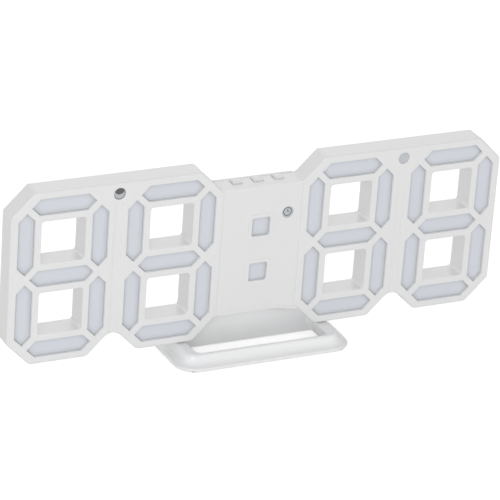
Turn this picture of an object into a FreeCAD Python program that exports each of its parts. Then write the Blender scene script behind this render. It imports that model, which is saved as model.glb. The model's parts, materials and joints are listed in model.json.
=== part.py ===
import FreeCAD, Part
import os
from math import atan2, pi, sqrt
from types import SimpleNamespace
import Sketcher

# Digital LED desk clock: a wide upright housing shaped like two pairs of seven-segment digits
# with a plain panel between them, on a moulded stand that carries it at a tilting hinge.
# Row frame in millimetres: +X to the right of the display, +Y to the back, +Z up.
# Z is zero on the table, X and Y are zero in the middle of the clock's outline in plan.

# Driving dimensions
SIZES = {
    # Housing outline seen from the front
    "body_width": 215.0,
    "body_height": 74.0,
    "body_lift": 6.0,
    "panel_height": 55.5,
    "inner_pitch": 79.0,
    "digit_pitch": 46.0,
    "corner_cut": 9.8,
    "notch_round": 5.0,
    # Segments and the see-through holes of the digits
    "rim": 3.0,
    "segment_width": 7.0,
    "rib": 2.7,
    "hole_round": 1.2,
    # Depths and walls of the two housing shells
    "shell_depth": 9.6,
    "face_thickness": 2.0,
    "wall": 1.8,
    "duct_wall": 1.2,
    "front_chamfer": 0.5,
    "panel_recess": 0.5,
    "strip_width": 3.4,
    "strip_depth": 0.3,
    "cover_depth": 2.4,
    "cover_floor": 1.8,
    "cover_step": 0.25,
    "cover_chamfer": 2.0,
    "cover_rim": 1.6,
    "mouth_step": 0.4,
    "mouth_chamfer": 1.2,
    # Small windows in the face
    "dot_radius": 2.5,
    "dot_height": 32.2,
    "icon_x": 11.8,
    "icon_height": 14.7,
    "colon_height": 9.9,
    "colon_size": 8.0,
    "colon_round": 1.0,
    "bezel_size": 11.0,
    "bezel_round": 1.8,
    "bezel_proud": 0.4,
    # Light path behind the face
    "window_recess": 1.2,
    "window_fit": 0.05,
    "diffuser_plate": 1.0,
    "cell_margin": 0.4,
    "inner_fit": 0.2,
    "light_half": 20.0,
    "light_cut": 8.9,
    # Board and its pieces
    "board_thickness": 1.2,
    "board_gap": 1.0,
    "board_fit": 0.3,
    "led_length": 3.2,
    "led_width": 1.6,
    "led_height": 0.8,
    "chip_height": 1.4,
    "controller_size": 6.0,
    "driver_size": 5.0,
    "crystal_width": 2.2,
    "crystal_length": 6.0,
    "crystal_height": 1.8,
    "thermistor_size": 1.6,
    "buzzer_radius": 4.0,
    "buzzer_height": 5.2,
    "buzzer_vent": 1.0,
    "buzzer_drop": 13.2,
    "socket_width": 8.0,
    "socket_height": 3.0,
    "socket_wall": 0.4,
    "socket_x": 12.5,
    "socket_drop": 2.5,
    # Bosses, posts and screws
    "boss_half": 2.4,
    "post_half": 1.5,
    "post_x": 15.5,
    "post_high": 10.0,
    "post_low": 14.0,
    "strip_boss_high": 22.0,
    "strip_boss_low": 18.5,
    "board_rib": 3.0,
    "screw_radius": 1.1,
    "screw_grip": 6.0,
    "screw_fit": 0.02,
    "head_radius": 2.1,
    "head_height": 0.9,
    "head_fit": 0.3,
    "drive_width": 0.6,
    "drive_depth": 0.4,
    # Keyholes for a wall
    "key_height": 3.0,
    "key_radius": 3.6,
    "key_slot": 3.8,
    "key_rise": 6.0,
    # Bulge on the back that holds the cell, the socket and the buzzer
    "bulge_half_width": 25.0,
    "bulge_top": 20.0,
    "bulge_bottom": 20.5,
    "bulge_depth": 5.5,
    "bulge_draft": 2.0,
    "bulge_slope": 3.0,
    "bulge_chamfer": 1.4,
    "bulge_wall": 1.6,
    "bay_half_width": 21.0,
    "bay_high": 16.0,
    "bay_low": 18.0,
    # Coin cell, its tray, contacts and door
    "cell_x": 6.5,
    "cell_height": 3.0,
    "cell_radius": 10.0,
    "cell_thickness": 3.2,
    "cell_fit": 0.25,
    "tray_wall": 1.4,
    "tray_floor": 1.2,
    "contact_thickness": 0.3,
    "contact_width": 4.0,
    "contact_rise": 0.5,
    "contact_notch": 0.8,
    "door_size": 25.0,
    "door_thickness": 1.4,
    "door_fit": 0.3,
    "door_grip": 0.6,
    "door_grip_width": 8.0,
    "door_grip_height": 2.5,
    # Buttons on top of the centre panel
    "button_pitch": 9.25,
    "button_width": 4.0,
    "button_length": 3.6,
    "button_back": 7.0,
    "button_proud": 0.9,
    "button_gap": 0.25,
    "button_chamfer": 0.5,
    "button_lip": 0.9,
    "button_flange": 1.0,
    "button_clear": 0.1,
    "button_travel": 0.5,
    "stem_width": 1.8,
    "plunger_width": 1.7,
    "plunger_length": 2.0,
    "plunger_fit": 0.1,
    "switch_width": 4.6,
    "switch_height": 3.5,
    "switch_depth": 3.0,
    # Hinge
    "hinge_back": 16.5,
    "hinge_height": 12.2,
    "barrel_radius": 3.0,
    "barrel_half": 11.9,
    "ear_inside": 12.0,
    "ear_thickness": 3.0,
    "ear_slope": 1.6,
    "pin_radius": 1.25,
    "pin_fit": 0.05,
    "pin_seat": 0.01,
    # Stand
    "stand_width": 77.2,
    "stand_depth": 42.0,
    "stand_reach": 16.1,
    "stand_round": 9.0,
    "bar_height": 5.1,
    "bar_depth": 6.8,
    "flange_height": 1.2,
    "cove_run": 4.5,
    "cove_radius": 3.4,
    "bar_chamfer": 0.7,
    "arm_width": 9.4,
    "slot_round": 3.0,
    "web_foot": 5.0,
    "web_thickness": 2.6,
    "web_shoulder": 0.9,
    "web_drop": 0.6,
    "recess_skin": 1.8,
    "recess_front": 12.5,
    "recess_back": 21.0,
    "recess_half": 32.0,
    "recess_rib": 1.4,
    "foot_length": 9.0,
    "foot_width": 3.0,
    "foot_proud": 0.3,
    "foot_sunk": 0.6,
    "foot_x": 29.0,
    "foot_inset": 2.8,
    # One overrun for all cuts
    "overrun": 1.0,
}

# Parts of a whole, not lengths
DIAGONAL_SHARE = sqrt(2) - 1
TIP_SHARE = sqrt(2)
UP = FreeCAD.Vector(0, 0, 1)
RIGHT = FreeCAD.Vector(1, 0, 0)
BACK = FreeCAD.Vector(0, 1, 0)
SIDES = (-1, 1)


class Size:
    """A length that carries its number and the sheet expression that gives it."""

    def __init__(self, value, text):
        self.value = value
        self.text = text

    def _joined(self, sign, other, value):
        return Size(value, "(%s %s %s)" % (self.text, sign, sized(other).text))

    def __add__(self, other):
        return self._joined("+", other, self.value + sized(other).value)

    def __sub__(self, other):
        return self._joined("-", other, self.value - sized(other).value)

    def __mul__(self, other):
        return self._joined("*", other, self.value * sized(other).value)

    def __truediv__(self, other):
        return self._joined("/", other, self.value / sized(other).value)

    def __neg__(self):
        return Size(-self.value, "(-1 * %s)" % self.text)


def sized(number):
    """Size of a plain count or share, or the size itself."""
    if isinstance(number, Size):
        return number
    return Size(float(number), repr(float(number)))


ZERO = sized(0)
doc = FreeCAD.newDocument("led_desk_clock")
sheet = doc.addObject("Spreadsheet::Sheet", "Sizes")
for line, (alias, millimetres) in enumerate(SIZES.items(), start=1):
    sheet.set("A%d" % line, alias)
    sheet.set("B%d" % line, str(millimetres))
    sheet.setAlias("B%d" % line, alias)
doc.recompute()
s = SimpleNamespace(**{alias: Size(float(sheet.get(alias)), "Sizes." + alias) for alias in SIZES})

# Places worked out from the driving dimensions
face = s.stand_reach - s.stand_depth / 2
middle = s.body_lift + s.body_height / 2
half_height = s.body_height / 2
panel_half = s.panel_height / 2
inner_x = s.inner_pitch / 2
outer_x = inner_x + s.digit_pitch
pair_x = inner_x + s.digit_pitch / 2
digit_half = s.body_width / 2 - outer_x
panel_edge = inner_x - digit_half
column_x = digit_half - s.rim - s.segment_width / 2
row_z = half_height - s.rim - s.segment_width / 2
hole_x = column_x - s.segment_width / 2 - s.rib
hole_low = s.segment_width / 2 + s.rib
hole_high = row_z - s.segment_width / 2 - s.rib
parting = face + s.shell_depth
cover_back = parting + s.cover_depth
cover_inside = cover_back - s.cover_floor
board_back = cover_inside - s.board_gap
board_front = board_back - s.board_thickness
cavity_front = face + s.face_thickness
light_front = cavity_front + s.diffuser_plate
bulge_back = cover_back + s.bulge_depth
button_roof = middle + panel_half - s.wall - s.button_clear
flange_half = s.button_width / 2 + s.button_gap + s.button_lip / 2
hinge_y = face + s.hinge_back
hinge_z = s.hinge_height + s.foot_proud
DIGITS = (-outer_x, -inner_x, inner_x, outer_x)
boss_heights = (s.strip_boss_high, -s.strip_boss_low)
case_bosses = [(pair_x * side, height) for side in SIDES for height in boss_heights]
board_posts = [(s.post_x * side, height) for side in SIDES for height in (s.post_high, -s.post_low)]


# Sketch and feature helpers

def new_body(name):
    """A sub-part made by PartDesign features."""
    body = doc.addObject("PartDesign::Body", name)
    body.Label = name
    body.AllowCompound = True
    return body


def plane_sketch(body, role, name, offset):
    """A sketch on one of the body's own origin planes, moved along that plane's normal."""
    sketch = body.newObject("Sketcher::SketchObject", name)
    plane = [item for item in body.Origin.OriginFeatures if item.Role == role][0]
    sketch.AttachmentSupport = [(plane, "")]
    sketch.MapMode = "FlatFace"
    sketch.setExpression("AttachmentOffset.Base.z", offset.text)
    return sketch


def front_sketch(body, name, y):
    """Seen from the front: X to the right, Z up, at the depth y."""
    return plane_sketch(body, "XZ_Plane", name, -y)


def side_sketch(body, name, x):
    """Seen from the right: Y to the right, Z up, at the place x."""
    return plane_sketch(body, "YZ_Plane", name, x)


def plan_sketch(body, name, z):
    """Seen from above: X to the right, Y up, at the height z."""
    return plane_sketch(body, "XY_Plane", name, z)


def hold(sketch, held):
    """Add constraints at once: plain ones, and ones with a size that the sheet gives."""
    indexes = sketch.addConstraint([constraint for constraint, _ in held])
    for index, (_, size) in zip(indexes, held):
        if size is not None:
            sketch.setExpression("Constraints[%d]" % index, size.text)


def pinned(geometry, point, x, y):
    """Constraints that hold a sketch point at two sizes."""
    return [(Sketcher.Constraint("DistanceX", -1, 1, geometry, point, x.value), x),
            (Sketcher.Constraint("DistanceY", -1, 1, geometry, point, y.value), y)]


def arc_between(start, stop, hub):
    """The arc from start to stop about hub, and which of its ends comes first."""
    turns_left = (start - hub).cross(stop - hub).z > 0
    first, last = (start, stop) if turns_left else (stop, start)
    begin = atan2(first.y - hub.y, first.x - hub.x)
    end = atan2(last.y - hub.y, last.x - hub.x)
    if end < begin:
        end += 2 * pi
    circle = Part.Circle(hub, UP, (start - hub).Length)
    return Part.ArcOfCircle(circle, begin, end), (1, 2) if turns_left else (2, 1)


def draw(sketch, points, hubs=None):
    """Closed outline through points, with an arc about its hub where a side has one."""
    first = sketch.GeometryCount
    hubs = hubs or {}
    spots = [FreeCAD.Vector(x.value, y.value, 0) for x, y in points]
    sides = []
    ends = []
    for index, spot in enumerate(spots):
        follower = spots[(index + 1) % len(spots)]
        side, order = Part.LineSegment(spot, follower), (1, 2)
        if index in hubs:
            hub = FreeCAD.Vector(hubs[index][0].value, hubs[index][1].value, 0)
            side, order = arc_between(spot, follower, hub)
        sides.append(side)
        ends.append(order)
    sketch.addGeometry(sides)
    held = []
    for index, (x, y) in enumerate(points):
        follower = (index + 1) % len(ends)
        joint = ("Coincident", first + index, ends[index][1], first + follower, ends[follower][0])
        held.append((Sketcher.Constraint(*joint), None))
        held += pinned(first + index, ends[index][0], x, y)
        if index in hubs:
            held.append(pinned(first + index, 3, *hubs[index])[1])
    hold(sketch, held)


def draw_box(sketch, low, high):
    """Rectangle between two opposite corners."""
    draw(sketch, [low, (high[0], low[1]), high, (low[0], high[1])])


def draw_round_box(sketch, low, high, radius):
    """Rectangle between two opposite corners, with its corners rounded."""
    (left, bottom), (right, top) = low, high
    points = [(left + radius, bottom), (right - radius, bottom),
              (right, bottom + radius), (right, top - radius),
              (right - radius, top), (left + radius, top),
              (left, top - radius), (left, bottom + radius)]
    hubs = {1: (right - radius, bottom + radius), 3: (right - radius, top - radius),
            5: (left + radius, top - radius), 7: (left + radius, bottom + radius)}
    draw(sketch, points, hubs)


def draw_square(sketch, x, z, half):
    """Square seen from the front, about a place given from the middle of the housing."""
    draw_box(sketch, (x - half, middle + z - half), (x + half, middle + z + half))


def draw_circle(sketch, x, y, radius):
    """Circle with its centre and radius held by the sheet."""
    index = sketch.addGeometry(Part.Circle(FreeCAD.Vector(x.value, y.value, 0), UP, radius.value))
    hold(sketch, pinned(index, 3, x, y) + [(Sketcher.Constraint("Radius", index, radius.value), radius)])


def volume_of(body):
    """Volume of what the body holds so far."""
    return 0 if body.Shape.isNull() else body.Shape.Volume


def extrude(kind, sketch, length, along=False, symmetric=False):
    """Pad or pocket the sketch by length, along or against the sketch's normal."""
    body = sketch.getParentGeoFeatureGroup()
    before = volume_of(body)
    made = body.newObject("PartDesign::" + kind, sketch.Name + "_" + kind)
    made.Profile = sketch
    made.setExpression("Length", length.text)
    made.Reversed = along == (kind == "Pocket")
    if symmetric:
        made.SideType = "Symmetric"
    doc.recompute()
    change = volume_of(body) - before
    if (change > 0) != (kind == "Pad"):
        raise ValueError("%s changed the volume by %.4f" % (made.Name, change))
    return made


def pad(sketch, length, along=False, symmetric=False):
    """Add the sketch's outline, drawn out by length."""
    return extrude("Pad", sketch, length, along, symmetric)


def cut(sketch, length, along=False, symmetric=False):
    """Take the sketch's outline away over length."""
    return extrude("Pocket", sketch, length, along, symmetric)


def dress(kind, body, test, size):
    """Fillet or chamfer the edges of the body that pass the test."""
    names = ["Edge%d" % (index + 1) for index, edge in enumerate(body.Shape.Edges) if test(edge)]
    if not names:
        raise ValueError("no edge to %s in %s" % (kind, body.Name))
    base = body.Tip
    made = body.newObject("PartDesign::" + kind, "%s_%s_%s" % (body.Name, kind, base.Name))
    made.Base = (base, names)
    made.setExpression("Radius" if kind == "Fillet" else "Size", size.text)
    doc.recompute()
    return made


def close_to(number, size):
    """Whether a coordinate lies at a size."""
    return abs(number - size.value) < 1e-4


def runs_along(edge, axis):
    """Whether an edge is straight and parallel to an axis."""
    if edge.Curve.TypeId != "Part::GeomLine":
        return False
    return abs(abs(edge.Curve.Direction.dot(axis)) - 1) < 1e-6


def lies_at_y(edge, y):
    """Whether both ends and the middle of an edge lie at the depth y."""
    box = edge.BoundBox
    return close_to(box.YMin, y) and close_to(box.YMax, y)


def lies_at_z(edge, z):
    """Whether both ends and the middle of an edge lie at the height z."""
    box = edge.BoundBox
    return close_to(box.ZMin, z) and close_to(box.ZMax, z)


def group(name, shape, places):
    """Separate copies of one solid as one sub-part, each moved from the row origin."""
    made = doc.addObject("Part::Feature", name)
    copies = [shape.translated(FreeCAD.Vector(*[size.value for size in place])) for place in places]
    made.Shape = Part.makeCompound(copies)
    made.Placement = FreeCAD.Placement()
    return made


# Outlines that several pieces share

def housing_outline(inset):
    """Corners of the housing seen from the front, drawn in by inset."""
    flat = digit_half - s.corner_cut - inset * DIAGONAL_SHARE
    low = half_height - inset
    side = outer_x + digit_half - inset
    shoulder = half_height - s.corner_cut - inset * DIAGONAL_SHARE
    notch = low - (s.digit_pitch / 2 - flat)
    throat = inner_x - flat - (half_height - panel_half)
    right = [
        (throat, -(panel_half - inset)),
        (inner_x - flat, -low),
        (inner_x + flat, -low),
        (pair_x, -notch),
        (outer_x - flat, -low),
        (outer_x + flat, -low),
        (side, -shoulder),
        (side, shoulder),
        (outer_x + flat, low),
        (inner_x - flat, low),
        (throat, panel_half - inset),
    ]
    left = [(-x, z) for x, z in reversed(right)]
    return [(x, middle + z) for x, z in right + left]


def notch_edge(edge):
    """Whether an edge along Y stands at the point of a notch between two digits."""
    return runs_along(edge, BACK) and close_to(abs(edge.CenterOfMass.x), pair_x)


def segment(x, z, half_length, upright, grow):
    """Six corners of a segment with pointed ends, drawn out by grow."""
    wide = s.segment_width / 2 + grow
    long = half_length + grow * TIP_SHARE
    if upright:
        corners = [(ZERO, -long), (wide, wide - long), (wide, long - wide),
                   (ZERO, long), (-wide, long - wide), (-wide, wide - long)]
    else:
        corners = [(-long, ZERO), (wide - long, -wide), (long - wide, -wide),
                   (long, ZERO), (long - wide, wide), (wide - long, wide)]
    return [(x + dx, middle + z + dz) for dx, dz in corners]


def digit_segments(x, grow):
    """The seven segments of the digit whose centre is at x."""
    lying = column_x - s.rib / TIP_SHARE
    standing = row_z / 2 - s.rib / TIP_SHARE
    made = [segment(x, z, lying, False, grow) for z in (-row_z, ZERO, row_z)]
    for side in SIDES:
        for level in SIDES:
            made.append(segment(x + column_x * side, row_z / 2 * level, standing, True, grow))
    return made


def digit_holes(x, grow):
    """Low and high corners of the two see-through holes of the digit at x, drawn out by grow."""
    made = []
    for low, high in ((hole_low, hole_high), (-hole_high, -hole_low)):
        made.append(((x - hole_x - grow, middle + low - grow), (x + hole_x + grow, middle + high + grow)))
    return made


def digit_octagon(x, inset):
    """Outline of what stands behind one digit: a rectangle with its corners cut."""
    wide = s.light_half - inset
    high = wide + half_height - digit_half
    cut_run = s.light_cut - inset * DIAGONAL_SHARE
    corners = [(wide - cut_run, -high), (wide, cut_run - high)]
    corners += [(wide, high - cut_run), (wide - cut_run, high)]
    corners += [(-dx, -dz) for dx, dz in corners]
    return [(x + dx, middle + dz) for dx, dz in corners]


def colon_square(side, grow):
    """Low and high corners of the upper or lower colon window, drawn out by grow."""
    half = s.colon_size / 2 + grow
    centre = middle + s.colon_height * side
    return (-half, centre - half), (half, centre + half)


# Front shell

def front_shell():
    """Face, outer wall, the ducts round the holes, bosses and posts, as one moulding."""
    body = new_body("front_shell")
    sketch = front_sketch(body, "shell_outline", face)
    draw(sketch, housing_outline(ZERO))
    pad(sketch, s.shell_depth)
    dress("Fillet", body, notch_edge, s.notch_round)
    dress("Chamfer", body, lambda edge: lies_at_y(edge, face), s.front_chamfer)
    shell_holes(body)
    shell_inside(body)
    shell_panel(body)
    shell_windows(body)


def shell_panel(body):
    """Step between the digits and the plain panel, with a bezel round each colon window."""
    sketch = front_sketch(body, "panel_step", face)
    reach = panel_half + s.overrun
    draw_box(sketch, (-panel_edge, middle - reach), (panel_edge, middle + reach))
    cut(sketch, s.panel_recess)
    sketch = front_sketch(body, "bezels", face + s.panel_recess)
    for side in SIDES:
        draw_round_box(sketch, *colon_square(side, (s.bezel_size - s.colon_size) / 2), s.bezel_round)
    pad(sketch, s.bezel_proud, along=True)
    sketch = front_sketch(body, "strips", face)
    top = middle + s.dot_height - s.dot_radius - s.strip_width / 2
    half = s.strip_width / 2
    for side in SIDES:
        x = pair_x * side
        draw_box(sketch, (x - half, middle - half_height), (x + half, top))
    cut(sketch, s.strip_depth)


def inside_hole(edge, grow):
    """Whether an edge lies within the outline of a see-through hole drawn out by grow."""
    place = edge.CenterOfMass
    wide = min(abs(abs(place.x) - centre.value) for centre in (inner_x, outer_x))
    high = abs(place.z - middle.value)
    return wide < (hole_x + grow).value + 1e-4 and high < (hole_high + grow).value + 1e-4


def shell_holes(body):
    """See-through holes of the digits, with rounded corners."""
    sketch = front_sketch(body, "holes", face)
    for x in DIGITS:
        for low, high in digit_holes(x, ZERO):
            draw_box(sketch, low, high)
    cut(sketch, s.shell_depth)
    dress("Fillet", body, lambda edge: runs_along(edge, BACK) and inside_hole(edge, ZERO), s.hole_round)


def shell_inside(body):
    """Cavity, duct walls, screw bosses and board posts, and the openings for the buttons."""
    sketch = front_sketch(body, "shell_cavity", parting)
    draw(sketch, housing_outline(s.wall))
    cut(sketch, s.shell_depth - s.face_thickness, along=True)
    for number, x in enumerate(DIGITS, start=1):
        sketch = front_sketch(body, "ducts_%d" % number, cavity_front)
        for low, high in digit_holes(x, s.duct_wall):
            draw_box(sketch, low, high)
        for low, high in digit_holes(x, ZERO):
            draw_round_box(sketch, low, high, s.hole_round)
        pad(sketch, cover_inside - cavity_front)
    sketch = front_sketch(body, "bosses", cavity_front)
    for x, z in case_bosses:
        draw_square(sketch, x, z, s.boss_half)
        draw_circle(sketch, x, middle + z, s.screw_radius + s.screw_fit)
    pad(sketch, cover_inside - cavity_front)
    sketch = front_sketch(body, "posts", cavity_front)
    for x, z in board_posts:
        draw_square(sketch, x, z, s.post_half)
    pad(sketch, board_front - cavity_front)
    sketch = plan_sketch(body, "button_openings", middle + panel_half)
    for step in (-1, 0, 1):
        x = s.button_pitch * step
        wide = s.button_width / 2 + s.button_gap
        deep = s.button_length / 2 + s.button_gap
        y = face + s.button_back
        draw_box(sketch, (x - wide, y - deep), (x + wide, y + deep))
    cut(sketch, s.wall + s.overrun)


def shell_windows(body):
    """Windows of the segments, the colon, the two round dots and the small symbol."""
    for number, x in enumerate(DIGITS, start=1):
        sketch = front_sketch(body, "windows_%d" % number, face)
        for corners in digit_segments(x, ZERO):
            draw(sketch, corners)
        cut(sketch, s.face_thickness + s.inner_fit)
    sketch = front_sketch(body, "small_windows", face)
    for side in SIDES:
        draw_round_box(sketch, *colon_square(side, ZERO), s.colon_round)
    for x, z in round_windows():
        draw_circle(sketch, x, middle + z, s.dot_radius)
    cut(sketch, s.face_thickness + s.inner_fit)


def round_windows():
    """Centres of the three round windows: left dot, right dot and symbol."""
    return [(-pair_x, s.dot_height), (pair_x, s.dot_height), (s.icon_x, s.icon_height)]


# Rear cover

def rear_cover():
    """Tapered back plate with the bulge, the cell tray, the hinge ears and the keyholes."""
    body = new_body("rear_cover")
    sketch = front_sketch(body, "cover_outline", parting)
    draw(sketch, housing_outline(s.cover_step))
    pad(sketch, s.cover_depth)
    dress("Fillet", body, notch_edge, s.notch_round)
    dress("Chamfer", body, lambda edge: lies_at_y(edge, cover_back), s.cover_chamfer)
    cover_mouths(body)
    sketch = front_sketch(body, "cover_middle", parting)
    draw_box(sketch, (-panel_edge, middle - panel_half), (panel_edge, middle + panel_half))
    pad(sketch, s.cover_rim)
    cover_bulge(body)
    cover_ears(body)
    sketch = front_sketch(body, "cover_inside", parting)
    draw(sketch, housing_outline(s.wall))
    cut(sketch, cover_inside - parting)
    sketch = front_sketch(body, "board_ribs", cover_inside)
    for x in DIGITS:
        draw_square(sketch, x, ZERO, s.board_rib / 2)
    pad(sketch, s.board_gap, along=True)
    cover_bay(body)
    cover_openings(body)


def cover_mouths(body):
    """Flared mouths of the see-through holes."""
    sketch = front_sketch(body, "mouths", parting)
    for x in DIGITS:
        for low, high in digit_holes(x, s.mouth_step):
            draw_box(sketch, low, high)
    cut(sketch, s.cover_depth)
    dress("Chamfer", body, lambda edge: lies_at_y(edge, cover_back) and inside_hole(edge, s.mouth_step),
          s.mouth_chamfer)


def cover_bulge(body):
    """Raised housing in the middle of the back, with sloping sides."""
    start = parting + s.cover_rim
    sections = []
    for name, y, inset, drop in (("bulge_root", start, ZERO, ZERO),
                                 ("bulge_end", bulge_back, s.bulge_draft, s.bulge_slope)):
        sketch = front_sketch(body, name, y)
        low = (inset - s.bulge_half_width, middle - s.bulge_bottom + inset)
        draw_box(sketch, low, (s.bulge_half_width - inset, middle + s.bulge_top - drop))
        sections.append(sketch)
    made = body.newObject("PartDesign::AdditiveLoft", "bulge")
    made.Profile = sections[0]
    made.Sections = sections[1:]
    made.Ruled = True
    doc.recompute()

    def bulge_edge(edge):
        box = edge.BoundBox
        return close_to(box.YMax, bulge_back) and box.YMin > cover_back.value - 1e-4

    dress("Chamfer", body, bulge_edge, s.bulge_chamfer)


def cover_ears(body):
    """Two round-ended ears that carry the hinge pin."""
    front = hinge_y - s.barrel_radius
    back = hinge_y + s.barrel_radius
    root = middle - s.bulge_bottom + s.bulge_draft
    start = cover_back - s.mouth_step
    hub = (hinge_y, hinge_z)
    for side in SIDES:
        sketch = side_sketch(body, "ear_%s" % ("left", "right")[side > 0], s.ear_inside * side)
        draw(sketch, [(front, hinge_z), (hinge_y, hinge_z - s.barrel_radius), (back, hinge_z),
                      (back - s.ear_slope, root), (start, root), (start, root - s.bulge_slope)],
             {0: hub, 1: hub})
        draw_circle(sketch, hinge_y, hinge_z, s.pin_radius + s.pin_seat)
        pad(sketch, s.ear_thickness, along=side > 0)


def cover_bay(body):
    """Hollow of the bulge with the coin cell's tray standing in it."""
    sketch = front_sketch(body, "bay", cover_inside)
    draw_box(sketch, (-s.bay_half_width, middle - s.bay_low), (s.bay_half_width, middle + s.bay_high))
    cut(sketch, bulge_back - s.bulge_wall - cover_inside)
    door_seat = bulge_back - s.door_thickness
    cell_front = door_seat - s.cell_thickness - s.contact_rise
    sketch = front_sketch(body, "tray", cell_front - s.tray_floor)
    draw_square(sketch, -s.cell_x, s.cell_height, s.cell_radius + s.cell_fit + s.tray_wall)
    pad(sketch, door_seat - cell_front + s.tray_floor)
    sketch = front_sketch(body, "door_seat", bulge_back)
    draw_door(sketch, s.door_fit)
    cut(sketch, s.door_thickness, along=True)
    sketch = front_sketch(body, "cell_pocket", door_seat)
    draw_circle(sketch, -s.cell_x, middle + s.cell_height, s.cell_radius + s.cell_fit)
    cut(sketch, door_seat - cell_front, along=True)
    sketch = front_sketch(body, "contact_notch", door_seat)
    half = s.contact_width / 2 + s.inner_fit
    edge = -s.cell_x - s.cell_radius - s.cell_fit
    draw_box(sketch, (edge - s.contact_notch, middle + s.cell_height - half),
             (edge + s.contact_notch, middle + s.cell_height + half))
    cut(sketch, door_seat - cell_front, along=True)


def draw_door(sketch, grow):
    """Square of the battery door, drawn out by grow."""
    draw_square(sketch, -s.cell_x, s.cell_height, s.door_size / 2 + grow)


def draw_keyhole(sketch, x, z):
    """Round hole for a screw head with a narrow slot above it for the shank."""
    half = s.key_slot / 2
    neck = z + root_of(s.key_radius * s.key_radius - half * half)
    top = z + s.key_rise
    hub = (x, z)
    draw(sketch, [(x + half, neck), (x + half, top), (x - half, top), (x - half, neck),
                  (x - s.key_radius, z), (x, z - s.key_radius), (x + s.key_radius, z)],
         {1: (x, top), 3: hub, 4: hub, 5: hub, 6: hub})


def cover_openings(body):
    """Screw holes, keyholes, and the openings for the socket and the buzzer."""
    sketch = front_sketch(body, "screw_and_key_holes", cover_inside)
    for x, z in case_bosses:
        draw_circle(sketch, x, middle + z, s.screw_radius + s.head_fit)
    for side in SIDES:
        draw_keyhole(sketch, pair_x * side, middle + s.key_height)
    cut(sketch, s.cover_floor)
    sketch = front_sketch(body, "bulge_openings", bulge_back)
    wide = s.socket_height / 2 + s.inner_fit
    high = s.socket_width / 2 + s.inner_fit
    draw_box(sketch, (s.socket_x - wide, middle - s.socket_drop - high),
             (s.socket_x + wide, middle - s.socket_drop + high))
    for step in (-1, 0, 1):
        x = s.buzzer_vent * 3 * step
        half = s.buzzer_vent / 2
        draw_box(sketch, (x - half, middle - s.buzzer_drop - s.buzzer_vent * 2),
                 (x + half, middle - s.buzzer_drop + s.buzzer_vent * 2))
    cut(sketch, s.bulge_wall, along=True)


# Light path

def digit_diffuser(number, x):
    """Milky insert: a plate behind the face with a raised block in each segment's window."""
    body = new_body("diffuser_digit_%d" % number)
    sketch = front_sketch(body, "plate_%d" % number, cavity_front)
    draw(sketch, digit_octagon(x, s.inner_fit))
    for low, high in digit_holes(x, s.duct_wall + s.inner_fit):
        draw_box(sketch, low, high)
    pad(sketch, s.diffuser_plate)
    sketch = front_sketch(body, "blocks_%d" % number, cavity_front)
    for corners in digit_segments(x, -s.window_fit):
        draw(sketch, corners)
    pad(sketch, s.face_thickness - s.window_recess, along=True)


def light_box(number, x):
    """White frame that keeps each segment's light to itself."""
    body = new_body("light_box_%d" % number)
    sketch = front_sketch(body, "box_%d" % number, light_front)
    draw(sketch, digit_octagon(x, s.inner_fit))
    for low, high in digit_holes(x, s.duct_wall + s.inner_fit):
        draw_box(sketch, low, high)
    pad(sketch, board_front - light_front)
    sketch = front_sketch(body, "cells_%d" % number, light_front)
    for corners in digit_segments(x, s.cell_margin):
        draw(sketch, corners)
    cut(sketch, board_front - light_front)


def colon_plate(sketch):
    """Outline of what stands behind the colon, between the bosses of the panel."""
    reach = s.colon_height + s.bezel_size / 2
    draw_box(sketch, (-s.bezel_size / 2, middle - reach), (s.bezel_size / 2, middle + reach))


def colon_diffuser():
    """Milky insert with a square block in each colon window."""
    body = new_body("diffuser_colon")
    sketch = front_sketch(body, "colon_plate", cavity_front)
    colon_plate(sketch)
    pad(sketch, s.diffuser_plate)
    sketch = front_sketch(body, "colon_blocks", cavity_front)
    for side in SIDES:
        draw_round_box(sketch, *colon_square(side, -s.window_fit), s.colon_round)
    pad(sketch, s.face_thickness - s.panel_recess + s.bezel_proud - s.window_recess, along=True)


def colon_light_box():
    """White frame behind the colon."""
    body = new_body("light_box_colon")
    sketch = front_sketch(body, "colon_box", light_front)
    colon_plate(sketch)
    for side in SIDES:
        draw_box(sketch, *colon_square(side, s.cell_margin))
    pad(sketch, board_front - light_front)


def light_pipe(name, x, z, window_front):
    """Round clear rod from a small window to its lamp on the board."""
    body = new_body(name)
    start = window_front + s.window_recess / 2
    sketch = front_sketch(body, name + "_rod", start)
    draw_circle(sketch, x, middle + z, s.dot_radius - s.window_fit)
    pad(sketch, board_front - s.led_height - s.inner_fit - start)


# Board and what it carries

def display_board():
    """One board behind all four digits, with openings for the ducts, bosses and keyholes."""
    body = new_body("display_board")
    sketch = front_sketch(body, "board", board_front)
    draw(sketch, housing_outline(s.wall + s.board_fit))
    pad(sketch, s.board_thickness)
    sketch = front_sketch(body, "board_windows", board_front)
    for x, z in case_bosses:
        draw_square(sketch, x, z, s.boss_half + s.board_fit)
    for x in DIGITS:
        for low, high in digit_holes(x, s.duct_wall + s.board_fit):
            draw_box(sketch, low, high)
    for side in SIDES:
        half = s.key_radius + s.board_fit
        draw_box(sketch, (pair_x * side - half, middle + s.key_height - half),
                 (pair_x * side + half, middle + s.key_height + s.key_rise + s.key_slot / 2))
    reach = s.button_pitch + flange_half + s.board_fit
    low = button_roof - s.button_flange - s.button_travel - s.board_fit
    draw_box(sketch, (-reach, low), (reach, middle + panel_half))
    cut(sketch, s.board_thickness)


def block(name, low, high):
    """Plain rectangular piece between two corners, as a bound primitive."""
    made = doc.addObject("Part::Box", name)
    for side, start, end in zip(("Length", "Width", "Height"), low, high):
        made.setExpression(side, (end - start).text)
    for axis, start in zip("xyz", low):
        made.setExpression("Placement.Base." + axis, start.text)
    return made


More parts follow.
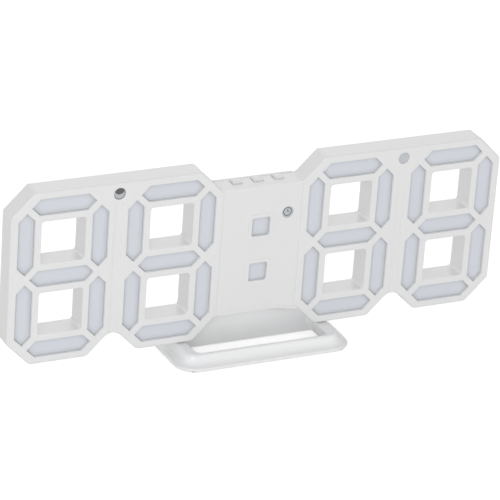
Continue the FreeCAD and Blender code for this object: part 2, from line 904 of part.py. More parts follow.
def centred_block(x, z, wide, high, front, back):
    """Low and high corners of a block centred at x and z between two depths."""
    low = (x - wide / 2, front, middle + z - high / 2)
    return low, (x + wide / 2, back, middle + z + high / 2)


def segment_centres():
    """Middle of every segment of the four digits."""
    places = []
    for x in DIGITS:
        places += [(x, z) for z in (-row_z, ZERO, row_z)]
        places += [(x + column_x * side, row_z / 2 * level) for side in SIDES for level in SIDES]
    return places


def lamps(name, places):
    """Flat lamps on the front of the board, at places seen from the front."""
    lamp = Part.makeBox(s.led_length.value, s.led_height.value, s.led_width.value)
    low_x, low_z = s.led_length / 2, s.led_width / 2
    depth = board_front - s.led_height
    return group(name, lamp, [(x - low_x, depth, middle + z - low_z) for x, z in places])


def cylinder(name, base, radius, length, axis):
    """Round piece from base along an axis, as a bound primitive."""
    made = doc.addObject("Part::Cylinder", name)
    made.setExpression("Radius", radius.text)
    made.setExpression("Height", length.text)
    made.Placement.Rotation = FreeCAD.Rotation(UP, axis)
    for letter, start in zip("xyz", base):
        made.setExpression("Placement.Base." + letter, start.text)
    return made


def board_pieces():
    """Chips, crystal, temperature sensor, buzzer and the power socket on the back of the board."""
    half = s.controller_size / 2
    x = s.socket_x - half
    z = s.bay_high - half - s.inner_fit
    block("controller_chip", *centred_block(x, z, s.controller_size, s.controller_size,
                                            board_back, board_back + s.chip_height))
    x = -s.bay_half_width / 2
    z = s.driver_size / 2 - s.bay_low + s.overrun
    block("led_driver_chip", *centred_block(x, z, s.driver_size, s.driver_size,
                                            board_back, board_back + s.chip_height))
    x = s.socket_x - s.socket_height
    z = s.crystal_length / 2 - s.bay_low + s.overrun
    block("crystal", *centred_block(x, z, s.crystal_width, s.crystal_length,
                                    board_back, board_back + s.crystal_height))
    x = s.thermistor_size * 2 - s.bay_half_width
    block("thermistor", *centred_block(x, -s.cell_x, s.thermistor_size, s.thermistor_size,
                                       board_back, board_back + s.thermistor_size))
    cylinder("buzzer", (ZERO, board_back, middle - s.buzzer_drop), s.buzzer_radius, s.buzzer_height, BACK)
    power_socket()


def power_socket():
    """Small upright power inlet: a metal can round an open mouth with a contact tongue."""
    body = new_body("power_socket")
    end = bulge_back - s.bulge_wall
    centre = middle - s.socket_drop
    wide = s.socket_height / 2
    high = s.socket_width / 2
    sketch = front_sketch(body, "socket_can", board_back)
    x = s.socket_x
    draw_box(sketch, (x - wide, centre - high), (x + wide, centre + high))
    pad(sketch, end - board_back)
    sketch = front_sketch(body, "socket_mouth", end)
    wide = wide - s.socket_wall
    high = high - s.socket_wall
    draw_box(sketch, (x - wide, centre - high), (x + wide, centre + high))
    cut(sketch, end - board_back - s.board_thickness, along=True)
    sketch = front_sketch(body, "socket_tongue", board_back)
    wide = s.socket_wall
    high = high - s.socket_wall * 2
    draw_box(sketch, (x - wide, centre - high), (x + wide, centre + high))
    pad(sketch, end - board_back - s.socket_wall * 2)


# Battery

def battery_pieces():
    """Coin cell, its two contacts and the door that lifts off the back."""
    door_seat = bulge_back - s.door_thickness
    cell_front = door_seat - s.cell_thickness
    base = (-s.cell_x, cell_front, middle + s.cell_height)
    cylinder("coin_cell", base, s.cell_radius, s.cell_thickness, BACK)
    profile = [(along, cell_front - off) for along, off in leaf_profile(s.contact_rise)]
    contact_leaf("cell_contact_negative", profile, -s.cell_x, ZERO)
    edge = -s.cell_x - s.cell_radius
    centre = cell_front + s.cell_thickness / 2
    profile = [(edge - off, along) for along, off in leaf_profile(s.contact_notch)]
    contact_leaf("cell_contact_positive", profile, ZERO, centre)
    battery_door()


def leaf_profile(rise):
    """Bent leaf as pairs of place along it and distance from the cell, at a rise between its ends."""
    half = s.cell_thickness / 2
    near = s.window_fit
    thick = s.contact_thickness
    return [(-half, rise), (ZERO, near + thick), (half, rise), (half, rise - thick), (ZERO, near),
            (-half, rise - thick)]


def contact_leaf(name, profile, x, y):
    """Sprung leaf that touches the cell, as wide as a contact."""
    body = new_body(name)
    sketch = plan_sketch(body, name + "_leaf", middle + s.cell_height - s.contact_width / 2)
    draw(sketch, [(x + dx, y + dy) for dx, dy in profile])
    pad(sketch, s.contact_width, along=True)


def battery_door():
    """Flush square door with a recess for the thumb."""
    body = new_body("battery_door")
    seat = bulge_back - s.door_thickness
    sketch = front_sketch(body, "door_plate", seat + s.door_fit / 2)
    draw_door(sketch, ZERO)
    pad(sketch, s.door_thickness - s.door_fit / 2)
    sketch = front_sketch(body, "door_dish", bulge_back)
    top = middle + s.cell_height + s.door_size / 2 - s.door_grip_height
    half = s.door_grip_width / 2
    draw_box(sketch, (-s.cell_x - half, top - s.door_grip_height), (-s.cell_x + half, top))
    cut(sketch, s.door_grip, along=True)


# Buttons

def button(name, step):
    """Cap that stands out of the panel's top wall, its flange, its stem and its plunger."""
    x = s.button_pitch * step
    y = face + s.button_back
    body = new_body("button_" + name)
    sketch = plan_sketch(body, name + "_flange", button_roof - s.button_flange)
    deep = s.button_length / 2 + s.button_lip
    draw_box(sketch, (x - flange_half, y - deep), (x + flange_half, y + deep))
    pad(sketch, s.button_flange, along=True)
    sketch = plan_sketch(body, name + "_cap", button_roof)
    draw_box(sketch, (x - s.button_width / 2, y - s.button_length / 2),
             (x + s.button_width / 2, y + s.button_length / 2))
    top = middle + panel_half + s.button_proud
    pad(sketch, top - button_roof, along=True)
    dress("Chamfer", body, lambda edge: lies_at_z(edge, top), s.button_chamfer)
    stem_low = switch_top() + s.button_travel + s.button_clear
    sketch = plan_sketch(body, name + "_stem", stem_low)
    half = s.stem_width / 2
    draw_box(sketch, (x - half, y - half), (x + half, y + half))
    pad(sketch, button_roof - s.button_flange - stem_low, along=True)
    half = s.plunger_width / 2
    low = stem_low - s.plunger_length
    block("plunger_" + name, (x - half, y - half, low), (x + half, y + half, stem_low))


def switch_top():
    """Height of the top of the three push switches."""
    stem = s.button_flange + s.button_travel + s.button_clear * 2 + s.stem_width / 2
    return middle + panel_half - s.wall - stem


def tact_switches():
    """Three push switches on the front of the board, each with a bore for its plunger."""
    body = new_body("tact_switches")
    y = face + s.button_back
    sketch = plan_sketch(body, "switch_cases", switch_top() - s.switch_height)
    half = s.switch_width / 2
    for step in (-1, 0, 1):
        x = s.button_pitch * step
        draw_box(sketch, (x - half, board_front - s.switch_depth), (x + half, board_front))
    pad(sketch, s.switch_height, along=True)
    sketch = plan_sketch(body, "switch_bores", switch_top())
    half = s.plunger_width / 2 + s.plunger_fit
    for step in (-1, 0, 1):
        x = s.button_pitch * step
        draw_box(sketch, (x - half, y - half), (x + half, y + half))
    cut(sketch, s.plunger_length)


# Stand and hinge

def stand():
    """One moulding: low coved bar in front, two arms, and a web that rises to the hinge."""
    body = new_body("stand")
    half = s.stand_width / 2
    deep = s.stand_depth / 2
    base = s.foot_proud
    top = base + s.bar_height
    sketch = plan_sketch(body, "stand_flange", base)
    draw_round_box(sketch, (-half, -deep), (half, deep), s.stand_round)
    pad(sketch, s.flange_height, along=True)
    sketch = plan_sketch(body, "stand_bar", base)
    draw_round_box(sketch, (s.cove_run - half, s.cove_run - deep), (half - s.cove_run, deep - s.cove_run),
                   s.stand_round - s.cove_run)
    pad(sketch, s.bar_height, along=True)

    def cove_edge(edge):
        inside = abs(edge.CenterOfMass.x) < half.value - s.cove_run.value + 1e-4
        shallow = abs(edge.CenterOfMass.y) < deep.value - s.cove_run.value + 1e-4
        return lies_at_z(edge, base + s.flange_height) and inside and shallow

    dress("Fillet", body, cove_edge, s.cove_radius)
    dress("Chamfer", body, lambda edge: lies_at_z(edge, top), s.bar_chamfer)
    stand_web(body)
    stand_underside(body)


def stand_web(body):
    """Curved web behind the slot, with the hinge barrel along its top."""
    base = s.foot_proud
    foot = face + s.web_foot
    front = hinge_y - s.barrel_radius
    rise = hinge_z - base
    run = front - foot
    radius = (run * run + rise * rise) / (run * 2)
    hub = (front - radius, hinge_z)
    outer = radius + s.web_thickness
    back = hub[0] + root_of(outer * outer - rise * rise)
    slot_half = s.stand_width / 2 - s.arm_width
    sketch = side_sketch(body, "web", ZERO)
    draw(sketch, [(foot, base), (back, base), (hub[0] + outer, hinge_z), (front, hinge_z)], {1: hub, 3: hub})
    pad(sketch, (slot_half + s.overrun) * 2, symmetric=True)
    sketch = side_sketch(body, "barrel", ZERO)
    draw_circle(sketch, hinge_y, hinge_z, s.barrel_radius)
    pad(sketch, s.barrel_half * 2, symmetric=True)
    shoulder = hinge_z - s.barrel_radius - s.web_drop
    for side in SIDES:
        sketch = front_sketch(body, "web_neck_%s" % ("left", "right")[side > 0], foot)
        reach = (slot_half + s.overrun * 2) * side
        draw(sketch, [(s.barrel_half * side, hinge_z + s.barrel_radius), (s.barrel_half * side, shoulder),
                      (reach, base + s.bar_height + s.web_shoulder), (reach, hinge_z + s.barrel_radius)])
        cut(sketch, hinge_y + s.barrel_radius - foot)
    sketch = side_sketch(body, "slot", ZERO)
    bar_back = face - s.stand_reach + s.bar_depth
    draw(sketch, [(bar_back, base), (foot, base), (front, hinge_z), (bar_back, hinge_z)], {1: hub})
    cut(sketch, slot_half * 2, symmetric=True)

    def slot_corner(edge):
        return runs_along(edge, UP) and close_to(edge.CenterOfMass.y, bar_back)

    dress("Fillet", body, slot_corner, s.slot_round)
    sketch = side_sketch(body, "barrel_bore", ZERO)
    draw_circle(sketch, hinge_y, hinge_z, s.pin_radius + s.pin_fit)
    cut(sketch, (s.barrel_half + s.overrun) * 2, symmetric=True)


def root_of(square):
    """Square root of a size times a size."""
    return Size(sqrt(square.value), "sqrt(%s)" % square.text)


def stand_underside(body):
    """Hollows under the rear of the stand and the seats of its four feet."""
    base = s.foot_proud
    sketch = plan_sketch(body, "hollows", base)
    third = s.recess_half / 3
    rib = s.recess_rib / 2
    hollows = ((-s.recess_half, -third - rib), (rib - third, third - rib), (third + rib, s.recess_half))
    for left, right in hollows:
        draw_box(sketch, (left, face + s.recess_front), (right, face + s.recess_back))
    cut(sketch, s.bar_height - s.recess_skin, along=True)
    sketch = plan_sketch(body, "foot_seats", base)
    draw_feet(sketch)
    cut(sketch, s.foot_sunk, along=True)


def draw_feet(sketch):
    """Outlines of the four long feet, seen from above."""
    reach = s.stand_depth / 2 - s.foot_inset
    for side in SIDES:
        for end in SIDES:
            x, y = s.foot_x * side, reach * end
            draw_box(sketch, (x - s.foot_length / 2, y - s.foot_width / 2),
                     (x + s.foot_length / 2, y + s.foot_width / 2))


def stand_feet():
    """Soft long feet under the stand."""
    body = new_body("stand_feet")
    sketch = plan_sketch(body, "feet", ZERO)
    draw_feet(sketch)
    pad(sketch, s.foot_proud + s.foot_sunk, along=True)


def hinge_pin():
    """Steel pin through the ears and the barrel."""
    reach = s.ear_inside + s.ear_thickness
    cylinder("hinge_pin", (-reach, hinge_y, hinge_z), s.pin_radius, reach * 2, RIGHT)


# Screws

def screws():
    """Slotted-head screws that hold the cover to the front shell."""
    body = new_body("case_screws")
    sketch = front_sketch(body, "shanks", cover_back)
    for x, z in case_bosses:
        draw_circle(sketch, x, middle + z, s.screw_radius)
    pad(sketch, s.screw_grip, along=True)
    sketch = front_sketch(body, "heads", cover_back)
    for x, z in case_bosses:
        draw_circle(sketch, x, middle + z, s.head_radius)
    pad(sketch, s.head_height)
    sketch = front_sketch(body, "slots", cover_back + s.head_height)
    for x, z in case_bosses:
        draw_box(sketch, (x - s.head_radius, middle + z - s.drive_width / 2),
                 (x + s.head_radius, middle + z + s.drive_width / 2))
    cut(sketch, s.drive_depth, along=True)


def build_all():
    """Every sub-part of the clock."""
    front_shell()
    rear_cover()
    for number, x in enumerate(DIGITS, start=1):
        digit_diffuser(number, x)
        light_box(number, x)
    colon_diffuser()
    colon_light_box()
    for name, (x, z), front in zip(("left_dot_lens", "right_dot_lens", "symbol_lens"), round_windows(),
                                   (face, face, face + s.panel_recess)):
        light_pipe(name, x, z, front)
    display_board()
    lamps("segment_leds", segment_centres())
    lamps("colon_leds", [(ZERO, s.colon_height * side) for side in SIDES])
    lamps("indicator_leds", round_windows())
    board_pieces()
    battery_pieces()
    tact_switches()
    for name, step in (("mode", -1), ("up", 0), ("down", 1)):
        button(name, step)
    stand()
    stand_feet()
    hinge_pin()
    screws()


def sub_parts():
    """The finished objects that become files, by name."""
    kinds = ("PartDesign::Body", "Part::Feature", "Part::Box", "Part::Cylinder")
    return {item.Label: item for item in doc.Objects if item.TypeId in kinds}


build_all()
doc.recompute()
broken = [item.Name for item in doc.Objects if {"Invalid", "Error"} & set(item.State)]
if broken:
    raise ValueError("failed features: %s" % ", ".join(broken))
os.makedirs("parts", exist_ok=True)
for label, item in sub_parts().items():
    if item.Shape.isNull() or not item.Shape.isValid():
        raise ValueError("bad shape: " + label)
for label, item in sub_parts().items():
    item.Shape.exportStep("parts/%s.step" % label)
    print("%-24s solids %2d  volume %9.2f" % (label, len(item.Shape.Solids), item.Shape.Volume))
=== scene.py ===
import json
from math import acos, cos, pi, radians, sin, tan

import bpy
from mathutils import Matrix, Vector


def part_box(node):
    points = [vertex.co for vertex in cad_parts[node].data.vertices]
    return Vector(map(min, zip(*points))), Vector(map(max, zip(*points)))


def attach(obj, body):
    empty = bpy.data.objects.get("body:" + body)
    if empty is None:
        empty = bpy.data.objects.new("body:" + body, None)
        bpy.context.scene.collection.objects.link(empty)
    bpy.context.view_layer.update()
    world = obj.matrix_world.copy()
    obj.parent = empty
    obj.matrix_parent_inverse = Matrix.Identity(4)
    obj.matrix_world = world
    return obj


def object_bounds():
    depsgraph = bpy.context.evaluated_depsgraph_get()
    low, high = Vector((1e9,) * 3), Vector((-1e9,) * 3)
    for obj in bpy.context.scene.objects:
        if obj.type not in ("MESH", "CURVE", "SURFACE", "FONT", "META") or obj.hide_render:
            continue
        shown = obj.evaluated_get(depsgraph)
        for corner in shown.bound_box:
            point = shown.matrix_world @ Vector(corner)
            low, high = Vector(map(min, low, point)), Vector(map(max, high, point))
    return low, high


# Digital LED desk clock in white plastic, on a white studio floor.
# The camera stands at its front left and a little above it.
# Lengths are in metres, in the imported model's own frame, and noise scales are per metre.

MM = 0.001
CAMERA_PLACE = (-541.8 * MM, -1068.5 * MM, 588.2 * MM)
CAMERA_TURN = (radians(65.372), radians(-3.779), radians(-25.079))
CAMERA_LENS = 235.63
CAMERA_SENSOR = 36.0
CAMERA_SIGHT = 20.0

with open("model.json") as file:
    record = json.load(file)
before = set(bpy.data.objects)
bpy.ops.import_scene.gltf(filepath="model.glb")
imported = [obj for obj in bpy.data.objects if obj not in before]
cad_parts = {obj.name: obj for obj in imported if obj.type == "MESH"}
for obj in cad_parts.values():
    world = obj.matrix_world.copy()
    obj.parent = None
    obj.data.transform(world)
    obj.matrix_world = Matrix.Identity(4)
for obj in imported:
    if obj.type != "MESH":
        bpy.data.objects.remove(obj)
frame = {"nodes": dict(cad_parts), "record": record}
cad_low, cad_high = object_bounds()
scene = bpy.context.scene
scene.view_settings.view_transform = "Standard"


# Node graphs

class Graph:
    """Adds and links the nodes of one tree."""

    def __init__(self, tree):
        self.tree = tree

    def add(self, kind, **values):
        """A new node. Each value goes to its input of that name, _ for a space, or else to a setting."""
        node = self.tree.nodes.new(kind)
        for name, value in values.items():
            label = name.replace("_", " ")
            if label in node.inputs:
                node.inputs[label].default_value = value
            else:
                setattr(node, name, value)
        return node

    def link(self, source, target):
        self.tree.links.new(source, target)


class Look(Graph):
    """A new material, and the nodes that feed its shader."""

    def __init__(self, name):
        self.material = bpy.data.materials.new(name)
        self.material.use_nodes = True
        super().__init__(self.material.node_tree)
        self.shader = self.tree.nodes["Principled BSDF"]

    def set_inputs(self, **values):
        for name, value in values.items():
            self.shader.inputs[name.replace("_", " ")].default_value = value

    def feed(self, name, source):
        self.link(source, self.shader.inputs[name])

    def place(self):
        """Where a point lies on its piece."""
        return self.add("ShaderNodeTexCoord").outputs["Object"]

    def noise(self, place, scale, detail):
        spots = self.add("ShaderNodeTexNoise", Scale=scale, Detail=detail)
        self.link(place, spots.inputs["Vector"])
        return spots.outputs["Fac"]

    def vary_colour(self, amount, first, second):
        mix = self.add("ShaderNodeMix", data_type="RGBA", A=(*first, 1), B=(*second, 1))
        self.link(amount, mix.inputs["Factor"])
        self.feed("Base Color", mix.outputs["Result"])

    def vary_roughness(self, amount, middle, spread):
        level = self.add("ShaderNodeMapRange", To_Min=middle - spread, To_Max=middle + spread)
        self.link(amount, level.inputs["Value"])
        self.feed("Roughness", level.outputs["Result"])

    def emboss(self, height, strength, depth):
        bump = self.add("ShaderNodeBump", Strength=strength, Distance=depth)
        self.link(height, bump.inputs["Height"])
        self.feed("Normal", bump.outputs["Normal"])


# Plastics

GRAIN = 0.35 * MM
GRAIN_DEPTH = 0.006 * MM
GRAIN_STRENGTH = 0.35
GRAIN_DETAIL = 2.0
DRIFT_SCALE = 28.0
DRIFT_DETAIL = 3.0
TONE_SHARE = 0.015
SHEEN = 0.03
PLASTICS = {
    "shell_white": dict(colour=(0.83, 0.83, 0.83), roughness=0.42),
    "cover_white": dict(colour=(0.82, 0.82, 0.82), roughness=0.5, grain=0.5 * MM, depth=0.014 * MM),
    # Painted light: the stand's white is lighter than the shell's, to make up for the shade it lies in
    # under the clock.
    "stand_white_brightened": dict(colour=(0.90, 0.905, 0.91), roughness=0.3, depth=0.003 * MM),
    "button_white": dict(colour=(0.80, 0.80, 0.80), roughness=0.38, depth=0.004 * MM),
    "frame_white": dict(colour=(0.84, 0.84, 0.84), roughness=0.6),
    "rubber_grey": dict(colour=(0.28, 0.28, 0.29), roughness=0.75, depth=0.012 * MM),
    "chip_black": dict(colour=(0.02, 0.02, 0.022), roughness=0.5, depth=0.008 * MM),
    "board_green": dict(colour=(0.015, 0.12, 0.05), roughness=0.35,
                        grain=1.2 * MM, depth=0.01 * MM, tone=0.2),
    "lamp_yellow": dict(colour=(0.8, 0.66, 0.22), roughness=0.25),
    "milky": dict(colour=(0.707, 0.736, 0.783), roughness=0.36, grain=0.25 * MM, depth=0.004 * MM),
    "misted": dict(colour=(0.56, 0.585, 0.615), roughness=0.32, grain=0.25 * MM, depth=0.004 * MM),
    "smoked": dict(colour=(0.13, 0.13, 0.14), roughness=0.28, grain=0.25 * MM, depth=0.003 * MM),
    "ink_dark": dict(colour=(0.14, 0.14, 0.15), roughness=0.6, grain=0.1 * MM, depth=0.002 * MM),
    "ink_light": dict(colour=(0.52, 0.53, 0.55), roughness=0.6, grain=0.1 * MM, depth=0.002 * MM),
}

MILKY_SCATTER_SHARE = 0.35
MILKY_SCATTER_REACH = 1.5 * MM
# Painted shade in the milky plates' colour near the walls of their windows.
RIM_REACH = 2.2 * MM
RIM_SHADE_SHARE = 0.74
RIM_DARK_BELOW = 0.4
RIM_SAMPLES = 8


def plastic(name, colour, roughness, grain=GRAIN, depth=GRAIN_DEPTH, tone=TONE_SHARE):
    """Moulded plastic: a fine spark-eroded grain, and a slow drift of tone and of gloss."""
    look = Look(name)
    place = look.place()
    drift = look.noise(place, DRIFT_SCALE, DRIFT_DETAIL)
    darker = [channel * (1 - tone) for channel in colour]
    lighter = [min(1, channel * (1 + tone)) for channel in colour]
    look.vary_colour(drift, darker, lighter)
    look.vary_roughness(drift, roughness, SHEEN)
    look.emboss(look.noise(place, 1 / grain, GRAIN_DETAIL), GRAIN_STRENGTH, depth)
    return look


def paint_rim_shade(look):
    """Painted shade: multiplies the milky plate's colour darker where the walls of its window stand
    close, as found by an occlusion test, in place of the shade in its recess.
    """
    openness = look.add("ShaderNodeAmbientOcclusion", samples=RIM_SAMPLES, Distance=RIM_REACH)
    level = look.add("ShaderNodeMapRange", From_Min=RIM_DARK_BELOW, To_Min=RIM_SHADE_SHARE)
    rim_shade_mix = look.add("ShaderNodeMix", data_type="RGBA", blend_type="MULTIPLY", Factor=1.0)
    plain = look.shader.inputs["Base Color"].links[0].from_socket
    look.link(openness.outputs["AO"], level.inputs["Value"])
    look.link(plain, rim_shade_mix.inputs["A"])
    look.link(level.outputs["Result"], rim_shade_mix.inputs["B"])
    look.feed("Base Color", rim_shade_mix.outputs["Result"])


# Metals

LINE_SCALE = 900.0
LINE_DETAIL = 4.0
LINE_DEPTH = 0.004 * MM
LINE_STRENGTH = 0.2
LINE_SHEEN = 0.08
LINE_TONE_SHARE = 0.94
METALS = {
    "plated": dict(colour=(0.66, 0.65, 0.62), roughness=0.3, stretch=(1.0, 12.0, 1.0)),
    "zinc": dict(colour=(0.55, 0.56, 0.58), roughness=0.34, stretch=(12.0, 1.0, 1.0)),
}


def metal(name, colour, roughness, stretch):
    """Plated metal with fine drawn lines across its stretched axis."""
    look = Look(name)
    look.set_inputs(Metallic=1.0)
    mapping = look.add("ShaderNodeMapping", Scale=stretch)
    look.link(look.place(), mapping.inputs["Vector"])
    lines = look.noise(mapping.outputs["Vector"], LINE_SCALE, LINE_DETAIL)
    look.vary_colour(lines, [channel * LINE_TONE_SHARE for channel in colour], colour)
    look.vary_roughness(lines, roughness, LINE_SHEEN)
    look.emboss(lines, LINE_STRENGTH, LINE_DEPTH)
    return look


# Looks of the pieces

BY_SLOT = {
    "white_shell": "shell_white",
    "white_stand": "stand_white_brightened",
    "white_button": "button_white",
    "white_inner": "frame_white",
    "milky_diffuser": "milky",
    "board": "board_green",
    "lamp": "lamp_yellow",
    "black_chip": "chip_black",
    "plated_metal": "plated",
    "steel_pin": "zinc",
    "grey_rubber": "rubber_grey",
}
BY_NODE = {
    "rear_cover": "cover_white",
    "battery_door": "cover_white",
    "left_dot_lens": "smoked",
    "right_dot_lens": "misted",
    "symbol_lens": "misted",
}

looks = {name: plastic(name, **values) for name, values in PLASTICS.items()}
looks.update({name: metal(name, **values) for name, values in METALS.items()})
looks["milky"].set_inputs(Subsurface_Weight=MILKY_SCATTER_SHARE, Subsurface_Scale=MILKY_SCATTER_REACH,
                          Subsurface_Radius=(1.0, 1.0, 1.0))
# Painted shade near the window walls of the milky plates.
paint_rim_shade(looks["milky"])
for part in frame["record"]["subparts"]:
    name = part["node"]
    slots = frame["nodes"][name].data.materials
    slots.clear()
    slots.append(looks[BY_NODE.get(name, BY_SLOT[part["material_slot"]])].material)


# Rounded edges

WELD_REACH = 0.0005 * MM
FLAT_WITHIN = radians(0.3)
SHARPER_THAN = radians(28)
EDGE_SEGMENTS = 2
EDGE_WIDTHS = {
    "front_shell": 0.14 * MM,
    "rear_cover": 0.12 * MM,
    "battery_door": 0.25 * MM,
    "button_mode": 0.18 * MM,
    "button_up": 0.18 * MM,
    "button_down": 0.18 * MM,
}


def modify(node, name, kind, **values):
    """Adds a modifier with these settings."""
    modifier = node.modifiers.new(name, kind)
    for setting, value in values.items():
        setattr(modifier, setting, value)


def join_flats(node):
    """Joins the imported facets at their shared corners, and the flat ones into whole faces."""
    modify(node, "weld", "WELD", merge_threshold=WELD_REACH)
    modify(node, "flat", "DECIMATE", decimate_type="DISSOLVE", angle_limit=FLAT_WITHIN)


def round_edges(node, width):
    """Softens the hard edges of a moulding, as its mould does."""
    modify(node, "edges", "BEVEL", limit_method="ANGLE", angle_limit=SHARPER_THAN, width=width,
           segments=EDGE_SEGMENTS, use_clamp_overlap=False, harden_normals=True)


# Rounded corners of the front shell's outline

CORNER_RADIUS = 3.0 * MM
CORNER_TURN = radians(45)
TURN_SLACK = radians(5)
CORNER_SEGMENTS = 6
LEAST_RUN = 8.5 * MM
MOST_RUN = 9.7 * MM


def edge_run(graph):
    """How far each edge runs from front to back."""
    ends = graph.add("GeometryNodeInputMeshEdgeVertices")
    along = graph.add("ShaderNodeVectorMath", operation="SUBTRACT")
    apart = graph.add("ShaderNodeSeparateXYZ")
    run = graph.add("ShaderNodeMath", operation="ABSOLUTE")
    graph.link(ends.outputs["Position 1"], along.inputs[0])
    graph.link(ends.outputs["Position 2"], along.inputs[1])
    graph.link(along.outputs["Vector"], apart.inputs["Vector"])
    graph.link(apart.outputs["Y"], run.inputs[0])
    return run.outputs["Value"]


def both(graph, first, second):
    """True where two tests are."""
    meet = graph.add("FunctionNodeBooleanMath", operation="AND")
    graph.link(first, meet.inputs[0])
    graph.link(second, meet.inputs[1])
    return meet.outputs["Boolean"]


def between(graph, source, least, most):
    """True where a value lies between two limits."""
    over = graph.add("FunctionNodeCompare", operation="GREATER_THAN", B=least)
    under = graph.add("FunctionNodeCompare", operation="LESS_THAN", B=most)
    graph.link(source, over.inputs["A"])
    graph.link(source, under.inputs["A"])
    return both(graph, over.outputs["Result"], under.outputs["Result"])


def corner_marker():
    """Node group that marks where the wall turns a corner, by its edges from the face to the back."""
    group = bpy.data.node_groups.new("corner_marker", "GeometryNodeTree")
    for direction in ("INPUT", "OUTPUT"):
        group.interface.new_socket("Geometry", in_out=direction, socket_type="NodeSocketGeometry")
    graph = Graph(group)
    bend = graph.add("GeometryNodeInputMeshEdgeAngle").outputs["Unsigned Angle"]
    at_corner = between(graph, bend, CORNER_TURN - TURN_SLACK, CORNER_TURN + TURN_SLACK)
    through_wall = between(graph, edge_run(graph), LEAST_RUN, MOST_RUN)
    store = graph.add("GeometryNodeStoreNamedAttribute", data_type="FLOAT", domain="EDGE",
                      Name="bevel_weight_edge", Value=1.0)
    graph.link(graph.add("NodeGroupInput").outputs["Geometry"], store.inputs["Geometry"])
    graph.link(both(graph, through_wall, at_corner), store.inputs["Selection"])
    graph.link(store.outputs["Geometry"], graph.add("NodeGroupOutput").inputs["Geometry"])
    return group


def round_corners(node):
    """Rounds the corners of the outline that the marker finds."""
    modify(node, "mark", "NODES", node_group=corner_marker())
    modify(node, "corners", "BEVEL", limit_method="WEIGHT", width=CORNER_RADIUS * tan(CORNER_TURN / 2),
           segments=CORNER_SEGMENTS, use_clamp_overlap=False, harden_normals=True)


for name, width in EDGE_WIDTHS.items():
    node = frame["nodes"][name]
    join_flats(node)
    if name == "front_shell":
        round_corners(node)
    round_edges(node, width)


# Soft skin of the stand

SKIN_CELL = 0.4 * MM
SKIN_TURNS = 12
SKIN_PULL_SHARE = 0.5


def soften(node):
    """Gives a moulding without flat sides one soft skin: its solid in small cells, smoothed."""
    modify(node, "skin", "REMESH", mode="VOXEL", voxel_size=SKIN_CELL, use_smooth_shade=True)
    modify(node, "soft", "SMOOTH", factor=SKIN_PULL_SHARE, iterations=SKIN_TURNS)


soften(frame["nodes"]["stand"])


# Printed marks in the small round windows

INK = 0.02 * MM
INK_GAP = 0.01 * MM
MOON_RADIUS = 2.2 * MM
MOON_SHIFT = 1.75 * MM
DIAL_RADIUS = 1.9 * MM
DIAL_INNER_RADIUS = 1.55 * MM
HAND_WIDTH = 0.3 * MM
LONG_HAND = 1.05 * MM
SHORT_HAND = 0.8 * MM
ARC_STEPS = 24
RING_STEPS = 48


def shown(name, data):
    """A new object in the scene."""
    made = bpy.data.objects.new(name, data)
    scene.collection.objects.link(made)
    return made


def arc(radius, start, end, steps=ARC_STEPS, rise=0.0):
    """Points on an arc from one angle to the other, about a centre that lies at the given height."""
    turns = [start + (end - start) * step / steps for step in range(steps + 1)]
    return [(radius * cos(turn), rise + radius * sin(turn)) for turn in turns]


def bar(start, end, width):
    """Corners of a straight stroke."""
    start, end = Vector(start), Vector(end)
    along = (end - start).normalized() * (width / 2)
    across = Vector((-along.y, along.x))
    return [tuple(start + across), tuple(start - across), tuple(end - across), tuple(end + across)]


def ring(outer, inner):
    """A ring as four-cornered patches."""
    patches = []
    for step in range(RING_STEPS):
        first, last = 2 * pi * step / RING_STEPS, 2 * pi * (step + 1) / RING_STEPS
        patches.append(arc(outer, first, last, steps=1) + arc(inner, last, first, steps=1))
    return patches


def crescent(radius, shift):
    """Outline of a disc with an equal disc, moved up by shift, taken out of it."""
    tip = acos(shift / (2 * radius))
    up, down = pi / 2, 3 * pi / 2
    return arc(radius, up + tip, up + 2 * pi - tip) + arc(radius, down + tip, down - tip, rise=shift)


def dial():
    """A plain ring with two hands."""
    hands = [
        bar((0, -HAND_WIDTH / 2), (0, LONG_HAND), HAND_WIDTH),
        bar((0, 0), (SHORT_HAND, 0), HAND_WIDTH),
    ]
    return ring(DIAL_RADIUS, DIAL_INNER_RADIUS) + hands


def print_mark(name, lens, patches, ink):
    """Thin ink on the face of a round window: each patch is an outline about the window's centre."""
    low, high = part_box(lens)
    centre = (low + high) / 2
    front = low.y - INK_GAP
    corners, faces = [], []
    for patch in patches:
        first = len(corners)
        count = len(patch)
        for depth in (0, INK):
            corners += [(centre.x + x, front - depth, centre.z + z) for x, z in patch]
        faces.append([first + step for step in range(count)])
        faces.append([first + count + step for step in reversed(range(count))])
        for step in range(count):
            after = (step + 1) % count
            faces.append([first + after, first + step, first + count + step, first + count + after])
    mesh = bpy.data.meshes.new(name)
    mesh.from_pydata(corners, [], faces)
    mesh.materials.append(looks[ink].material)
    made = shown(name, mesh)
    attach(made, "clock")


print_mark("half_day_mark", "left_dot_lens", [crescent(MOON_RADIUS, MOON_SHIFT)], "ink_light")
print_mark("alarm_mark", "symbol_lens", dial(), "ink_dark")


# Stage

FLOOR_REACH = 4.0
FLOOR_COLOUR = (0.92, 0.92, 0.92)
FLOOR_ROUGHNESS = 0.9
FLOOR_GLOW = 0.45
WORLD_LIGHT = 0.62
WORLD_SEEN = 1.0
LAMPS = {
    "key": dict(place=(-0.9, -1.35, 0.36), size=0.9, watts=9.0),
    "fill": dict(place=(0.9, -1.2, 0.35), size=1.0, watts=1.4),
    "back": dict(place=(0.4, 1.5, 0.6), size=1.2, watts=5.0),
}


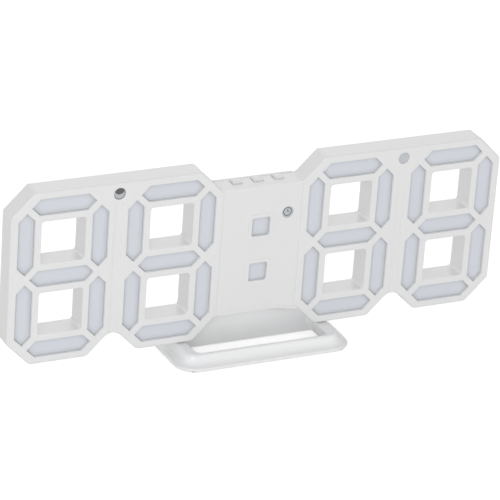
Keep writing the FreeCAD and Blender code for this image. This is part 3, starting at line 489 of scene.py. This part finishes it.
def floor_paint():
    """Plain paint that catches the object's shadow and looks nearly white to the camera."""
    look = Look("floor_paint")
    look.set_inputs(Base_Color=(*FLOOR_COLOUR, 1), Roughness=FLOOR_ROUGHNESS, Specular_IOR_Level=0.0)
    ray = look.add("ShaderNodeLightPath")
    strength = look.add("ShaderNodeMath", operation="MULTIPLY")
    strength.inputs[1].default_value = FLOOR_GLOW
    glow = look.add("ShaderNodeEmission")
    total = look.add("ShaderNodeAddShader")
    look.link(ray.outputs["Is Camera Ray"], strength.inputs[0])
    look.link(strength.outputs["Value"], glow.inputs["Strength"])
    look.link(look.shader.outputs["BSDF"], total.inputs[0])
    look.link(glow.outputs["Emission"], total.inputs[1])
    look.link(total.outputs["Shader"], look.tree.nodes["Material Output"].inputs["Surface"])
    return look.material


def studio_floor():
    """Wide flat sheet at the height of the table."""
    mesh = bpy.data.meshes.new("floor")
    sides = ((-1, -1), (1, -1), (1, 1), (-1, 1))
    mesh.from_pydata([(x * FLOOR_REACH, y * FLOOR_REACH, 0) for x, y in sides], [], [(0, 1, 2, 3)])
    mesh.materials.append(floor_paint())
    return shown("floor", mesh)


def studio_world():
    """White surroundings that look brighter, straight or mirrored, than the light they give."""
    world = bpy.data.worlds.new("studio")
    world.use_nodes = True
    scene.world = world
    graph = Graph(world.node_tree)
    background = graph.tree.nodes["Background"]
    background.inputs["Color"].default_value = (1, 1, 1, 1)
    ray = graph.add("ShaderNodeLightPath")
    seen = graph.add("ShaderNodeMath", operation="MAXIMUM")
    level = graph.add("ShaderNodeMapRange", To_Min=WORLD_LIGHT, To_Max=WORLD_SEEN)
    graph.link(ray.outputs["Is Camera Ray"], seen.inputs[0])
    graph.link(ray.outputs["Is Glossy Ray"], seen.inputs[1])
    graph.link(seen.outputs["Value"], level.inputs["Value"])
    graph.link(level.outputs["Result"], background.inputs["Strength"])


def soft_lamp(name, place, size, watts):
    """Square area lamp that faces the middle of the clock."""
    lamp = bpy.data.lights.new(name, "AREA")
    lamp.shape = "SQUARE"
    lamp.size = size
    lamp.energy = watts
    made = shown(name, lamp)
    made.location = place
    towards = (cad_low + cad_high) / 2 - Vector(place)
    made.rotation_euler = towards.to_track_quat("-Z", "Y").to_euler()


def photo_camera():
    """Camera fitted to the photograph."""
    camera = shown("camera", bpy.data.cameras.new("camera"))
    camera.location = CAMERA_PLACE
    camera.rotation_euler = CAMERA_TURN
    camera.data.sensor_width = CAMERA_SENSOR
    camera.data.lens = CAMERA_LENS
    camera.data.clip_end = CAMERA_SIGHT
    scene.camera = camera


floor = studio_floor()
studio_world()
for name, values in LAMPS.items():
    soft_lamp(name, **values)
photo_camera()
